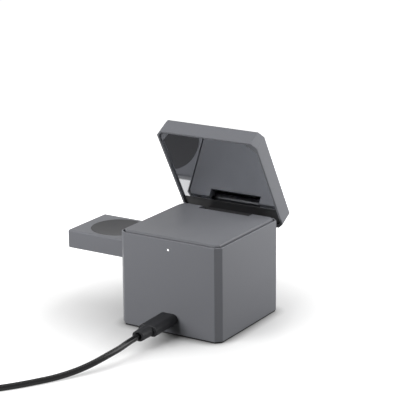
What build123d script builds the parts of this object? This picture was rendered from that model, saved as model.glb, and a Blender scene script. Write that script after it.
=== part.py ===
from build123d import *

import os
from math import atan2, cos, degrees, pi, radians, sin, sqrt, tan

# Folding cube charger: a body with a raised charging deck, a lid with the phone pad that flips up at
# the front edge, and a slab with the watch charger that slides out of the side.
# Frame: origin on the table under the middle of the body, +Z up, rear face with the port at +Y,
# watch slab sliding out towards +X. The lid is modelled shut and then turned open about its hinge.

# Driving dimensions in millimetres and degrees

# Body
body_width = 60.0
body_depth = 60.0
corner_cut = 3.0
rim_height = 50.0
wall = 1.8
foot_height = 0.8
foot_inset = 0.4
lower_edge_round = 0.4
rim_bevel = 0.15
lip_thickness = 0.6
lip_depth = 2.0
fit_gap = 0.1

# Raised deck
deck_inset = 1.7
deck_raise = 1.0
deck_bevel = 0.6
deck_flange = 0.9
earbud_coil_radius = 17.0
earbud_coil_hole = 6.0
earbud_coil_thickness = 1.0
earbud_shield_thickness = 0.8

# Lid
lid_gap = 0.4
lid_thickness = 9.2
lid_skin = 2.0
lid_edge_bevel = 0.4
lid_rim = 1.1
lid_end_rim = 1.7
lid_end_cut = 6.4
lid_relief = 0.8
lid_recess = 1.2
mirror_thickness = 1.2
mirror_ledge = 1.1
hinge_strip_width = 12.1
phone_pad_margin = 2.0
phone_pad_seat = 1.0
phone_pad_proud = 0.4
phone_pad_groove_inset = 6.5
magnet_ring_inset = 2.0
magnet_ring_width = 4.0
magnet_thickness = 2.0
magnet_count = 12
magnet_gap_angle = 4.0
phone_coil_gap = 1.0
phone_coil_hole = 9.0
phone_coil_thickness = 1.2
phone_shield_thickness = 0.8

# Lid hinge
open_angle = 60.0
hinge_inset = 3.5
hinge_drop = 8.1
pin_radius = 1.0
pin_running_gap = 0.05
pin_fixed_gap = 0.02
hinge_side_room = 8.6
arm_recess = 0.3
arm_back = 2.4
arm_flange_room = 2.8
arm_flange_reach = 10.7
arm_flange_thickness = 2.2
arm_screw_inset = 2.4
hinge_gap = 0.5
notch_gap = 0.3
washer_thickness = 0.6
lug_thickness = 3.9
bracket_plate = 1.5
bracket_depth = 4.0
bracket_room = 2.4
bracket_ear_thickness = 1.6

# Watch drawer
drawer_height = 9.6
drawer_drop = 9.1
drawer_rear_room = 3.2
drawer_hold = 13.1
drawer_wall = 1.5
drawer_edge = 0.7
drawer_gap = 0.25
drawer_cover_thickness = 1.4
drawer_ear_length = 3.0
drawer_ear_reach = 1.0
drawer_ear_height = 3.0
guide_room = 1.65
guide_floor = 1.45
guide_wall = 2.4
guide_lip = 2.25
guide_lip_thickness = 1.4
guide_rib = 1.4
drawer_screw_inset = 3.6
drawer_post_radius = 2.0
watch_flange_width = 0.9
watch_flange_thickness = 1.2
watch_puck_depth = 4.2
watch_puck_wall = 1.8
watch_puck_skin = 1.2
watch_dish_depth = 0.8
watch_coil_hole = 6.0
watch_coil_thickness = 1.2
watch_magnet_radius = 5.0
watch_shield_thickness = 0.8

# Inside the body
base_thickness = 2.0
boss_inset = 5.0
boss_radius = 3.3
boss_height = 12.0
weight_height = 6.4
weight_side_room = 7.2
weight_front_room = 4.2
weight_rear_room = 13.2
board_thickness = 1.6
board_side_room = 7.2
board_front_room = 7.2
board_rear_room = 1.7
post_radius = 2.2
post_gap = 0.5
post_side_inset = 3.0
post_front_inset = 5.0
post_rear_inset = 6.5
choke_size = 8.0
choke_height = 5.0
choke_place = (-8.0, -6.0)
chip_size = 7.0
chip_height = 1.0
chip_place = (7.5, -4.5)
can_radius = 2.5
can_height = 6.0
can_places = ((-8.0, 10.0), (0.0, 10.0))
screw_radius = 0.9
screw_head_radius = 1.7
screw_head_height = 1.1

# Port, plug and status light
port_height = 8.8
plug_width = 8.25
plug_thickness = 2.4
plug_length = 6.65
plug_wall = 0.35
socket_gap = 0.06
socket_wall = 0.35
socket_depth = 7.6
socket_setback = 0.8
port_gap = 0.25
tongue_width = 6.7
tongue_thickness = 0.7
tongue_length = 4.8
overmold_width = 11.2
overmold_height = 5.6
overmold_length = 19.25
overmold_edge = 0.3
overmold_gap = 0.25
plug_droop = 1.5
collar_length = 8.5
collar_width = 7.2
collar_height = 5.5
collar_draw_in = 0.25
collar_recess_depth = 1.2
collar_recess_gap = 0.35
light_drop = 5.1
light_radius = 0.5
light_flange_radius = 1.4
light_flange_thickness = 0.85
led_height = 0.7
led_board_width = 12.0
led_board_height = 5.6
led_board_thickness = 1.0
led_post_radius = 1.2
led_post_spread = 8.4

# Lead, with the route of its free stretch and of the end that leaves the coil
cord_diameter = 3.2
cord_route = [
    (0.0, 60.6, 8.0),
    (0.0, 67.5, 7.7),
    (-0.1, 73.5, 7.1),
    (1.3, 81.0, 6.1),
    (4.0, 90.2, 4.2),
    (7.7, 98.9, 2.6),
    (12.5, 108.3, 1.6),
    (17.5, 117.3, 1.6),
    (22.7, 125.8, 1.6),
    (28.2, 133.2, 1.6),
    (36.0, 141.8, 1.8),
    (44.7, 151.5, 2.2),
]
tail_route = [
    (45.8, 150.5, 11.8),
    (52.2, 158.5, 10.8),
    (62.6, 162.0, 8.3),
    (73.4, 158.9, 5.5),
    (82.5, 151.5, 3.6),
    (86.7, 143.0, 2.8),
    (86.7, 134.0, 2.8),
]
coil_centre = (60.9, 137.0)
coil_mean_radius = 17.0
coil_columns = 3
coil_layers = 4
tie_thickness = 0.6
tie_width = 5.0
tie_angles = (200.0, 290.0)

# Levels and faces that follow from the driving dimensions

front_face = -body_depth / 2
rear_face = body_depth / 2
drawer_face = body_width / 2
ledge = rim_height - lip_depth
deck_top = rim_height + deck_raise
lid_seat = rim_height + lid_gap
mirror_face = lid_seat + lid_recess
mirror_back = mirror_face + mirror_thickness
lid_top = lid_seat + lid_thickness
lid_ceiling = lid_top - lid_skin
hinge_y = front_face + hinge_inset
hinge_z = lid_seat - hinge_drop
arm_radius = hinge_inset - arm_recess
lug_radius = hinge_inset - wall - fit_gap
lug_end = body_width / 2 - wall - hinge_side_room
lug_start = lug_end - lug_thickness
arm_width = 2 * (lug_start - washer_thickness - 2 * pin_running_gap)
bracket_ear = hinge_side_room - bracket_room
bracket_front = hinge_y + arm_radius + hinge_gap
bracket_back = bracket_front + bracket_plate
flange_front = front_face + lid_rim + mirror_ledge + fit_gap
flange_rear = flange_front + arm_flange_reach
arm_flange_width = body_width - 2 * (lid_rim + mirror_ledge + arm_flange_room)
drawer_top = rim_height - drawer_drop
drawer_bottom = drawer_top - drawer_height
drawer_width = 2 * (-bracket_back - guide_room - guide_wall - drawer_gap)
drawer_length = body_width - wall - drawer_rear_room
drawer_reach = drawer_length - drawer_hold
drawer_end = drawer_face + drawer_reach
drawer_start = drawer_end - drawer_length
watch_x = drawer_face + drawer_reach / 2
watch_flange_radius = drawer_width / 2 - drawer_wall - fit_gap
watch_puck_radius = watch_flange_radius - watch_flange_width
watch_coil_radius = watch_puck_radius - watch_puck_wall - fit_gap
phone_pad_radius = min(body_width, body_depth) / 2 - phone_pad_margin
magnet_ring_radius = phone_pad_radius - magnet_ring_inset
phone_coil_radius = magnet_ring_radius - magnet_ring_width - phone_coil_gap
base_top = foot_height + base_thickness
socket_width = plug_width + 2 * (socket_gap + socket_wall)
socket_height = plug_thickness + 2 * (socket_gap + socket_wall)
board_bottom = port_height + socket_height / 2
board_top = board_bottom + board_thickness
board_half = body_width / 2 - wall - board_side_room
board_front = front_face + wall + board_front_room
board_rear = rear_face - wall - board_rear_room
weight_half = body_width / 2 - wall - weight_side_room
weight_front = front_face + wall + weight_front_room
weight_rear = rear_face - wall - weight_rear_room
weight_top = base_top + weight_height
light_height = rim_height - light_drop
overmold_start = rear_face + overmold_gap
overmold_end = overmold_start + overmold_length
collar_end = overmold_end + collar_length
cord_start = collar_end - collar_recess_depth


# Drawing helpers

def outline(inset=0.0):
    """The body's plan with cut corners, moved inwards by inset on every side."""
    x = body_width / 2 - inset
    y = body_depth / 2 - inset
    cut = corner_cut - inset * (2 - sqrt(2))
    if cut <= 0:
        return Rectangle(2 * x, 2 * y)
    corners = [(x - cut, -y), (x, cut - y), (x, y - cut), (x - cut, y)]
    mirrored = [(-px, py) for px, py in reversed(corners)]
    return Polygon(*corners, *mirrored, align=None)


def lid_opening(inset=0.0):
    """Plan of the opening in the lid's underside, with larger corner cuts away from the hinge."""
    x = body_width / 2 - lid_rim - inset
    near = front_face + lid_rim + inset
    far = rear_face - lid_end_rim - inset
    near_cut = max(corner_cut - (lid_rim + inset) * (2 - sqrt(2)), fit_gap)
    far_cut = lid_end_cut - inset * (2 - sqrt(2))
    corners = [(x - near_cut, near), (x, near + near_cut), (x, far - far_cut), (x - far_cut, far)]
    mirrored = [(-px, py) for px, py in reversed(corners)]
    return Polygon(*corners, *mirrored, align=None)


def along_x(sketch, x0, x1):
    """Solid of a sketch drawn in Y and Z, from x0 to x1."""
    return extrude(Plane.YZ.offset(x0) * sketch, x1 - x0, dir=(1, 0, 0))


def along_y(sketch, y0, y1):
    """Solid of a sketch drawn in X and Z, from y0 to y1."""
    return extrude(Plane.XZ.offset(-y0) * sketch, y1 - y0, dir=(0, 1, 0))


def along_z(sketch, z0, z1):
    """Solid of a sketch drawn in X and Y, from z0 to z1."""
    return extrude(Plane.XY.offset(z0) * sketch, z1 - z0, dir=(0, 0, 1))


def block(x, y, z):
    """Box between a low and a high limit along X, Y and Z."""
    size = Box(x[1] - x[0], y[1] - y[0], z[1] - z[0])
    return Pos((x[0] + x[1]) / 2, (y[0] + y[1]) / 2, (z[0] + z[1]) / 2) * size


def disc(radius, z0, z1, centre=(0.0, 0.0)):
    """Upright cylinder from z0 to z1."""
    return along_z(Pos(*centre) * Circle(radius), z0, z1)


def ring(radius, hole, z0, z1, centre=(0.0, 0.0)):
    """Upright flat ring from z0 to z1."""
    return disc(radius, z0, z1, centre) - disc(hole, z0, z1, centre)


def rod_x(radius, x0, x1):
    """Cylinder about the lid's hinge axis."""
    return along_x(Pos(hinge_y, hinge_z) * Circle(radius), x0, x1)


def screw(x, y, seat, tip):
    """Pan-head screw with its head's flat face at seat, pointing up or down to tip."""
    up = 1 if tip > seat else -1
    shank = disc(screw_radius, min(seat, tip), max(seat, tip), (x, y))
    outer = seat - up * screw_head_height
    head = disc(screw_head_radius, min(seat, outer), max(seat, outer), (x, y))
    return shank + head


def screw_hole(x, y, z0, z1):
    """Clearance for a screw's shank."""
    return disc(screw_radius + pin_fixed_gap, z0, z1, (x, y))


def mirrored_pairs(x, ys):
    """Places at plus and minus x for each y."""
    return [(side * x, y) for y in ys for side in (-1, 1)]


def opened(solid):
    """The lid's pieces turned from shut to open about the hinge axis."""
    return solid.rotate(Axis((0, hinge_y, hinge_z), (1, 0, 0)), open_angle)


def slot_y(width, height, y0, y1, centre=(0.0, 0.0)):
    """Solid with a stadium section, lying along Y."""
    return along_y(Pos(*centre) * SlotOverall(width, height), y0, y1)


def dish(radius, depth):
    """Shallow hollow with a curved floor, its rim at the level zero."""
    floor = ThreePointArc((0, -depth), (radius / 2, -0.75 * depth), (radius, 0))
    section = make_face(floor + Polyline((radius, 0), (0, 0), (0, -depth)))
    return revolve(Plane.XZ * section, Axis.Z)


# Places of fasteners and supports, shared by the pieces that meet there

boss_x = body_width / 2 - boss_inset
boss_y = body_depth / 2 - boss_inset
base_screw_places = mirrored_pairs(boss_x, (-boss_y, boss_y))
post_places = mirrored_pairs(
    board_half - post_side_inset, (board_front + post_front_inset, board_rear - post_rear_inset)
)
ear_x = lug_end + bracket_ear / 2
ear_y = hinge_y + arm_radius / 2
ear_places = mirrored_pairs(ear_x, (ear_y,))
arm_screw_places = [
    *mirrored_pairs(arm_width / 2 + arm_screw_inset, (flange_front + arm_screw_inset,)),
    *mirrored_pairs(arm_flange_width / 2 - arm_screw_inset, (flange_rear - arm_screw_inset,)),
]
cover_screw_places = [
    (x, side * (drawer_width / 2 - drawer_screw_inset))
    for x in (drawer_start + drawer_screw_inset, drawer_end - drawer_screw_inset)
    for side in (-1, 1)
]


# Body

def make_body_shell():
    shell = along_z(outline(), foot_height, rim_height)
    shell = fillet(shell.faces().sort_by(Axis.Z)[0].edges(), lower_edge_round)
    shell = chamfer(shell.faces().sort_by(Axis.Z)[-1].edges(), rim_bevel)
    shell -= along_z(outline(wall), foot_height, ledge)
    shell -= along_z(outline(lip_thickness), ledge, rim_height)
    for place in base_screw_places:
        shell += disc(boss_radius, base_top, base_top + boss_height, place) & along_z(
            outline(wall / 2), base_top, base_top + boss_height
        )
        shell -= screw_hole(*place, base_top, base_top + boss_height - wall)
    mouth = drawer_width + 2 * drawer_gap, drawer_height + 2 * drawer_gap
    mouth_middle = (0.0, drawer_bottom + drawer_height / 2)
    shell -= along_x(Pos(*mouth_middle) * Rectangle(*mouth), drawer_face - 2 * wall, drawer_face)
    notch_x = arm_width / 2 + notch_gap
    notch_z = hinge_z - arm_radius - notch_gap
    shell -= block((-notch_x, notch_x), (front_face, front_face + 2 * wall), (notch_z, rim_height))
    port = socket_width + 2 * port_gap, socket_height + 2 * port_gap
    shell -= slot_y(*port, rear_face - 2 * wall, rear_face, (0.0, port_height))
    light_hole = Pos(0, light_height) * Circle(light_radius + pin_running_gap)
    shell -= along_y(light_hole, rear_face - 2 * wall, rear_face)
    inner_rear = rear_face - wall
    for side in (-1, 1):
        post = Pos(side * led_post_spread / 2, light_height) * Circle(led_post_radius)
        shell += along_y(post, inner_rear - light_flange_thickness - led_height, inner_rear)
    return shell


def make_base_plate():
    plate = along_z(outline(wall + fit_gap), foot_height, base_top)
    for place in base_screw_places:
        plate -= screw_hole(*place, foot_height, base_top)
        head_room = disc(screw_head_radius + fit_gap, foot_height, foot_height + screw_head_height, place)
        plate -= head_room
    for place in post_places:
        plate += disc(post_radius, base_top, board_bottom, place)
        plate -= screw_hole(*place, base_top + fit_gap, board_bottom)
    return plate


def make_foot_pad():
    pad = along_z(outline(foot_inset), 0, foot_height)
    return chamfer(pad.faces().sort_by(Axis.Z)[0].edges(), foot_height / 3)


def make_base_screws():
    seat = foot_height + screw_head_height
    tip = base_top + boss_height - 2 * wall
    return [screw(*place, seat, tip) for place in base_screw_places]


def make_counterweight():
    weight = block((-weight_half, weight_half), (weight_front, weight_rear), (base_top, weight_top))
    for place in post_places:
        weight -= disc(post_radius + post_gap, base_top, weight_top, place)
    return weight


def make_main_board():
    board = block((-board_half, board_half), (board_front, board_rear), (board_bottom, board_top))
    for place in post_places:
        board -= screw_hole(*place, board_bottom, board_top)
    return board


def make_board_parts():
    """Choke, controller chip and capacitors standing on the board."""
    choke_plan = Pos(*choke_place) * RectangleRounded(choke_size, choke_size, choke_size / 8)
    choke = along_z(choke_plan, board_top, board_top + choke_height)
    chip = along_z(Pos(*chip_place) * Rectangle(chip_size, chip_size), board_top, board_top + chip_height)
    cans = [disc(can_radius, board_top, board_top + can_height, place) for place in can_places]
    return [choke, chip, *cans]


def make_board_screws():
    return [screw(*place, board_top, base_top + wall) for place in post_places]


def make_usb_receptacle():
    mouth = rear_face - socket_setback
    back = mouth - socket_depth
    centre = (0.0, port_height)
    shell = slot_y(socket_width, socket_height, back, mouth, centre)
    inside = plug_width + 2 * socket_gap, plug_thickness + 2 * socket_gap
    return shell - slot_y(*inside, back + socket_wall, mouth, centre)


def make_receptacle_tongue():
    root = rear_face - socket_setback - socket_depth + socket_wall
    half = tongue_width / 2
    low = port_height - tongue_thickness / 2
    return block((-half, half), (root, root + tongue_length), (low, low + tongue_thickness))


def make_light_pipe():
    inner = rear_face - wall
    centre = Pos(0, light_height)
    stem = along_y(centre * Circle(light_radius), inner, rear_face)
    flange = along_y(centre * Circle(light_flange_radius), inner - light_flange_thickness, inner)
    return stem + flange


def make_status_led():
    face = rear_face - wall - light_flange_thickness
    half = light_flange_radius * 0.6
    return block((-half, half), (face - led_height, face), (light_height - half, light_height + half))


def make_led_board():
    face = rear_face - wall - light_flange_thickness - led_height
    sketch = Pos(0, light_height) * Rectangle(led_board_width, led_board_height)
    return along_y(sketch, face - led_board_thickness, face)


def make_top_deck():
    deck = along_z(outline(deck_inset), ledge, deck_top)
    deck = chamfer(deck.faces().sort_by(Axis.Z)[-1].edges(), deck_bevel)
    deck += along_z(outline(lip_thickness + fit_gap), ledge, ledge + deck_flange)
    pocket_depth = earbud_coil_thickness + earbud_shield_thickness
    deck -= disc(earbud_coil_radius + 4 * fit_gap, ledge, ledge + pocket_depth)
    notch_x = arm_width / 2 + notch_gap
    notch_y = hinge_y + arm_back + hinge_gap
    deck -= block((-notch_x, notch_x), (front_face, notch_y), (ledge, deck_top))
    for place in ear_places:
        deck -= screw_hole(*place, ledge, ledge + lip_depth)
    return deck


def make_earbud_coil():
    low = ledge + earbud_shield_thickness
    return ring(earbud_coil_radius, earbud_coil_hole, low, low + earbud_coil_thickness)


def make_earbud_shield():
    return disc(earbud_coil_radius + fit_gap, ledge, ledge + earbud_shield_thickness)


def make_drawer_guide():
    """Channel hung under the deck, with grooves that stop the drawer's ears."""
    inner = drawer_width / 2 + drawer_gap
    outer = inner + guide_wall
    low = drawer_bottom - drawer_gap
    high = drawer_top + drawer_gap
    lip_top = high + guide_lip_thickness
    section = Polygon(
        (-outer, low - guide_floor), (outer, low - guide_floor), (outer, ledge),
        (outer - guide_rib, ledge), (outer - guide_rib, lip_top), (inner - guide_lip, lip_top),
        (inner - guide_lip, high), (inner, high), (inner, low), (-inner, low), (-inner, high),
        (guide_lip - inner, high), (guide_lip - inner, lip_top), (guide_rib - outer, lip_top),
        (guide_rib - outer, ledge), (-outer, ledge),
        align=None,
    )
    back = drawer_face - drawer_length - 2 * hinge_gap
    guide = along_x(section, back, drawer_face - wall)
    groove_x = back, drawer_start + drawer_ear_length + drawer_gap
    middle = (drawer_bottom + drawer_top) / 2
    groove_half = drawer_ear_height / 2 + drawer_gap
    groove_z = middle - groove_half, middle + groove_half
    groove_y = inner + drawer_ear_reach
    return guide - block(groove_x, (-groove_y, groove_y), groove_z)


def make_hinge_bracket():
    """Cross plate under the deck with two lugs for the pin and two ears for its screws."""
    plate_low = hinge_z - bracket_depth
    bracket = block((-lug_end, lug_end), (bracket_front, bracket_back), (plate_low, ledge))
    ear_front = hinge_y - lug_radius
    for side in (-1, 1):
        span = sorted((side * lug_start, side * lug_end))
        bracket += block(span, (hinge_y, bracket_back), (hinge_z - lug_radius, ledge))
        bracket += rod_x(lug_radius, *span)
        ear_span = sorted((side * lug_end, side * (lug_end + bracket_ear)))
        bracket += block(ear_span, (ear_front, bracket_back), (ledge - bracket_ear_thickness, ledge))
    for place in ear_places:
        bracket -= screw_hole(*place, ledge - bracket_ear_thickness, ledge)
    return bracket - rod_x(pin_radius + pin_fixed_gap, -lug_end, lug_end)


def make_bracket_screws():
    seat = ledge - bracket_ear_thickness
    return [screw(*place, seat, ledge + lip_depth - fit_gap) for place in ear_places]


def make_hinge_pin():
    return rod_x(pin_radius, -lug_end, lug_end)


def make_friction_washers():
    washers = []
    for side in (-1, 1):
        near = arm_width / 2 + pin_running_gap
        span = sorted((side * near, side * (near + washer_thickness)))
        washers.append(rod_x(lug_radius, *span) - rod_x(pin_radius + pin_fixed_gap, *span))
    return washers


# Lid, drawn shut

def make_lid_shell():
    shell = along_z(outline(), lid_seat, lid_top)
    shell = chamfer(shell.faces().sort_by(Axis.Z)[-1].edges(), lid_edge_bevel)
    shell -= along_z(outline(lid_rim), lid_seat, lid_seat + lid_relief)
    shell -= along_z(lid_opening(), lid_seat, mirror_back)
    shell -= along_z(lid_opening(mirror_ledge), mirror_back, lid_ceiling)
    shell -= disc(phone_pad_radius + fit_gap, lid_top - phone_pad_seat, lid_top)
    for place in arm_screw_places:
        boss_low = mirror_back + arm_flange_thickness
        shell += disc(screw_head_radius, boss_low, lid_ceiling, place)
        shell -= screw_hole(*place, boss_low, lid_ceiling)
    return shell


def make_mirror_panel():
    split = front_face + hinge_strip_width
    panel = along_z(lid_opening(fit_gap), mirror_face, mirror_back)
    return panel & block((-body_width, body_width), (split, body_depth), (mirror_face, mirror_back))


def make_hinge_strip():
    split = front_face + hinge_strip_width - fit_gap
    strip = along_z(lid_opening(fit_gap), mirror_face, mirror_back)
    strip &= block((-body_width, body_width), (-body_depth, split), (mirror_face, mirror_back))
    slot_x = arm_width / 2 + fit_gap
    slot_y_end = hinge_y + arm_back + fit_gap
    return strip - block((-slot_x, slot_x), (front_face, slot_y_end), (mirror_face, mirror_back))


def make_hinge_arm():
    """Barrel on the pin, an upright that fills the body's notch, a neck and a flange in the lid."""
    half = arm_width / 2
    back = hinge_y + arm_back
    arm = rod_x(arm_radius, -half, half)
    arm += block((-half, half), (hinge_y - arm_radius, back), (hinge_z, lid_seat - lid_gap / 2))
    neck_front = front_face + lid_rim + fit_gap
    arm += block((-half, half), (neck_front, back), (hinge_z, mirror_back))
    flange_half = arm_flange_width / 2
    flange_z = mirror_back, mirror_back + arm_flange_thickness
    arm += block((-flange_half, flange_half), (flange_front, flange_rear), flange_z)
    for place in arm_screw_places:
        arm -= screw_hole(*place, mirror_back, mirror_back + arm_flange_thickness)
        arm -= disc(screw_head_radius + fit_gap, mirror_back, mirror_back + screw_head_height, place)
    return arm - rod_x(pin_radius + pin_running_gap, -half, half)


def make_arm_screws():
    seat = mirror_back + screw_head_height
    return [screw(*place, seat, lid_ceiling - fit_gap) for place in arm_screw_places]


def make_phone_pad():
    low = lid_top - phone_pad_seat
    high = lid_top + phone_pad_proud
    pad = disc(phone_pad_radius, low, high)
    pad = chamfer(pad.faces().sort_by(Axis.Z)[-1].edges(), phone_pad_proud / 2)
    groove_depth = phone_pad_proud / 2
    groove = phone_pad_radius - phone_pad_groove_inset
    return pad - ring(groove + 2 * phone_pad_proud, groove, high - groove_depth, high)


def make_magnet_ring():
    """Arc magnets in a circle, each a sector of one flat ring."""
    low = lid_ceiling - magnet_thickness
    whole = ring(magnet_ring_radius, magnet_ring_radius - magnet_ring_width, low, lid_ceiling)
    step = 360 / magnet_count
    half = radians((step - magnet_gap_angle) / 2)
    far = 2 * magnet_ring_radius
    wedge = along_z(
        Polygon((0, 0), (far, -far * tan(half)), (far, far * tan(half)), align=None), low, lid_ceiling
    )
    magnet = whole & wedge
    return [Rot(0, 0, step * k) * magnet for k in range(magnet_count)]


def make_phone_coil():
    return ring(phone_coil_radius, phone_coil_hole, lid_ceiling - phone_coil_thickness, lid_ceiling)


def make_phone_shield():
    high = lid_ceiling - phone_coil_thickness
    return disc(phone_coil_radius, high - phone_shield_thickness, high)


# Watch drawer

def make_drawer_tray():
    half = drawer_width / 2
    tray = block((drawer_start, drawer_end), (-half, half), (drawer_bottom, drawer_top))
    end_face = tray.faces().sort_by(Axis.X)[-1]
    tray = chamfer(end_face.edges() + tray.faces().sort_by(Axis.Z)[-1].edges(), drawer_edge)
    inside = half - drawer_wall
    hollow = (
        (drawer_start + drawer_wall, drawer_end - drawer_wall),
        (-inside, inside),
        (drawer_bottom, drawer_top - drawer_wall),
    )
    tray -= block(*hollow)
    tray -= disc(watch_puck_radius + fit_gap, drawer_bottom, drawer_top, (watch_x, 0))
    cover_top = drawer_bottom + drawer_cover_thickness
    for place in cover_screw_places:
        tray += disc(drawer_post_radius, cover_top, drawer_top - drawer_wall, place)
        tray -= screw_hole(*place, cover_top, drawer_top - drawer_wall)
    middle = (drawer_bottom + drawer_top) / 2
    ear_z = middle - drawer_ear_height / 2, middle + drawer_ear_height / 2
    ear_half = half + drawer_ear_reach - drawer_gap
    for side in (-1, 1):
        ear_y_span = sorted((side * (half - drawer_wall), side * ear_half))
        tray += block((drawer_start, drawer_start + drawer_ear_length), ear_y_span, ear_z)
    return tray


def make_drawer_cover():
    half = drawer_width / 2 - drawer_wall - fit_gap
    inset = drawer_wall + fit_gap
    cover_top = drawer_bottom + drawer_cover_thickness
    cover = block(
        (drawer_start + inset, drawer_end - inset), (-half, half), (drawer_bottom, cover_top)
    )
    for place in cover_screw_places:
        cover -= screw_hole(*place, drawer_bottom, cover_top)
        cover -= disc(screw_head_radius + fit_gap, drawer_bottom, drawer_bottom + screw_head_height, place)
    return cover


def make_cover_screws():
    seat = drawer_bottom + screw_head_height
    return [screw(*place, seat, drawer_top - drawer_wall - fit_gap) for place in cover_screw_places]


def make_watch_puck():
    """Cup with a dished top, held under the slab's skin by its flange."""
    centre = (watch_x, 0)
    low = drawer_top - watch_puck_depth
    under_skin = drawer_top - drawer_wall
    puck = disc(watch_puck_radius, low, drawer_top, centre)
    puck += disc(watch_flange_radius, under_skin - watch_flange_thickness, under_skin, centre)
    puck -= Pos(watch_x, 0, drawer_top) * dish(watch_puck_radius, watch_dish_depth)
    ceiling = drawer_top - watch_dish_depth - watch_puck_skin
    return puck - disc(watch_coil_radius + fit_gap, low, ceiling, centre)


def make_watch_coil():
    high = drawer_top - watch_dish_depth - watch_puck_skin
    return ring(watch_coil_radius, watch_coil_hole, high - watch_coil_thickness, high, (watch_x, 0))


def make_watch_magnet():
    high = drawer_top - watch_dish_depth - watch_puck_skin
    return disc(watch_magnet_radius, high - watch_coil_thickness, high, (watch_x, 0))


def make_watch_shield():
    high = drawer_top - watch_dish_depth - watch_puck_skin - watch_coil_thickness
    return disc(watch_coil_radius, high - watch_shield_thickness, high, (watch_x, 0))


# Lead

def make_plug_overmold():
    body = slot_y(overmold_width, overmold_height, overmold_start, overmold_end, (0.0, port_height))
    ends = [body.faces().sort_by(Axis.Y)[k].edges() for k in (0, -1)]
    return fillet(ends[0] + ends[1], overmold_edge)


def make_plug_collar():
    """Tapering sleeve behind the plug, with a recess round the cord where it comes out."""
    root = Plane.XZ.offset(-overmold_end) * Pos(0, port_height) * SlotOverall(collar_width, collar_height)
    draft = degrees(atan2(collar_draw_in, collar_length))
    sleeve = extrude(root, collar_length, dir=(0, 1, 0), taper=draft)
    mouth = Pos(0, port_height) * Circle(cord_diameter / 2 + collar_recess_gap)
    return sleeve - along_y(mouth, collar_end - collar_recess_depth, collar_end)


def make_plug_tip():
    """Metal tip in the socket, hollow where it slides over the contact tongue."""
    end = overmold_start - plug_length
    centre = (0.0, port_height)
    tip = slot_y(plug_width, plug_thickness, end, overmold_start - pin_running_gap, centre)
    inside = plug_width - 2 * plug_wall, plug_thickness - 2 * plug_wall
    return tip - slot_y(*inside, end, overmold_start - socket_wall, centre)


def drooped(solid):
    """A plug piece at the port, tipped a little by the lead's weight."""
    return solid.rotate(Axis((0, rear_face, port_height), (1, 0, 0)), -plug_droop)


def at_far_end(solid):
    """A plug piece moved from the port to the lead's other end, where it lies flat."""
    x, y, z = tail_route[-1]
    return Pos(x, y - cord_start, z - port_height) * solid


def cord_tube(points):
    """Round tube along straight runs joined by arcs as large as the runs allow."""
    corners = [Vector(*p) for p in points]
    runs = [b - a for a, b in zip(corners, corners[1:])]
    radii = []
    for before, after in zip(runs, runs[1:]):
        half_turn = radians(before.get_angle(after)) / 2
        radii.append(0.45 * min(before.length, after.length) / tan(half_turn))
    print("cord arc radii", [round(r, 1) for r in radii])
    path = FilletPolyline(*corners, radius=radii)
    section = Plane(origin=corners[0], z_dir=runs[0]) * Circle(cord_diameter / 2)
    tube = sweep(section, path=path)
    share = tube.volume / (pi * cord_diameter ** 2 / 4 * path.length)
    print("cord stretch", round(path.length, 1), "mm, volume over section times length", round(share, 4))
    return tube


def coil_solid():
    """Outer shape of the wound part of the lead."""
    half = coil_columns * cord_diameter / 2
    high = tie_thickness + coil_layers * cord_diameter
    return ring(coil_mean_radius + half, coil_mean_radius - half, tie_thickness, high, coil_centre)


def make_cord_run():
    reach = cord_start - rear_face
    droop = radians(plug_droop)
    start = (0.0, rear_face + reach * cos(droop), port_height - reach * sin(droop))
    return cord_tube([start, *cord_route]) - coil_solid()


def make_cord_tail():
    return cord_tube(tail_route) - coil_solid()


def make_cord_ties():
    """Two straps round the coil's section."""
    half = coil_columns * cord_diameter / 2
    inner_radius = coil_mean_radius - half
    edge = tie_width / 2
    near = sqrt(inner_radius ** 2 - edge ** 2) - pin_running_gap
    far = coil_mean_radius + half + pin_running_gap
    high = tie_thickness + coil_layers * cord_diameter
    strap = block(
        (near - tie_thickness, far + tie_thickness), (-edge, edge), (0, high + tie_thickness)
    )
    strap -= block((near, far), (-edge, edge), (tie_thickness, high))
    return [Pos(*coil_centre, 0) * Rot(0, 0, angle) * strap for angle in tie_angles]


# Build and export, one file for each node

base_pieces = {
    "body_shell": make_body_shell,
    "base_plate": make_base_plate,
    "foot_pad": make_foot_pad,
    "base_screws": make_base_screws,
    "counterweight": make_counterweight,
    "main_board": make_main_board,
    "board_parts": make_board_parts,
    "board_screws": make_board_screws,
    "usb_receptacle": make_usb_receptacle,
    "receptacle_tongue": make_receptacle_tongue,
    "light_pipe": make_light_pipe,
    "status_led": make_status_led,
    "led_board": make_led_board,
    "top_deck": make_top_deck,
    "earbud_coil": make_earbud_coil,
    "earbud_shield": make_earbud_shield,
    "drawer_guide": make_drawer_guide,
    "hinge_bracket": make_hinge_bracket,
    "bracket_screws": make_bracket_screws,
    "hinge_pin": make_hinge_pin,
    "friction_washers": make_friction_washers,
    "drawer_tray": make_drawer_tray,
    "drawer_cover": make_drawer_cover,
    "cover_screws": make_cover_screws,
    "watch_puck": make_watch_puck,
    "watch_coil": make_watch_coil,
    "watch_magnet": make_watch_magnet,
    "watch_shield": make_watch_shield,
    "plug_tip": make_plug_tip,
    "cord_run": make_cord_run,
    "cord_coil": coil_solid,
    "cord_tail": make_cord_tail,
    "cord_ties": make_cord_ties,
}
lid_pieces = {
    "lid_shell": make_lid_shell,
    "mirror_panel": make_mirror_panel,
    "hinge_strip": make_hinge_strip,
    "hinge_arm": make_hinge_arm,
    "arm_screws": make_arm_screws,
    "phone_pad": make_phone_pad,
    "magnet_ring": make_magnet_ring,
    "phone_coil": make_phone_coil,
    "phone_shield": make_phone_shield,
}
port_plug_pieces = {
    "plug_overmold": make_plug_overmold,
    "plug_collar": make_plug_collar,
}
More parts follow.
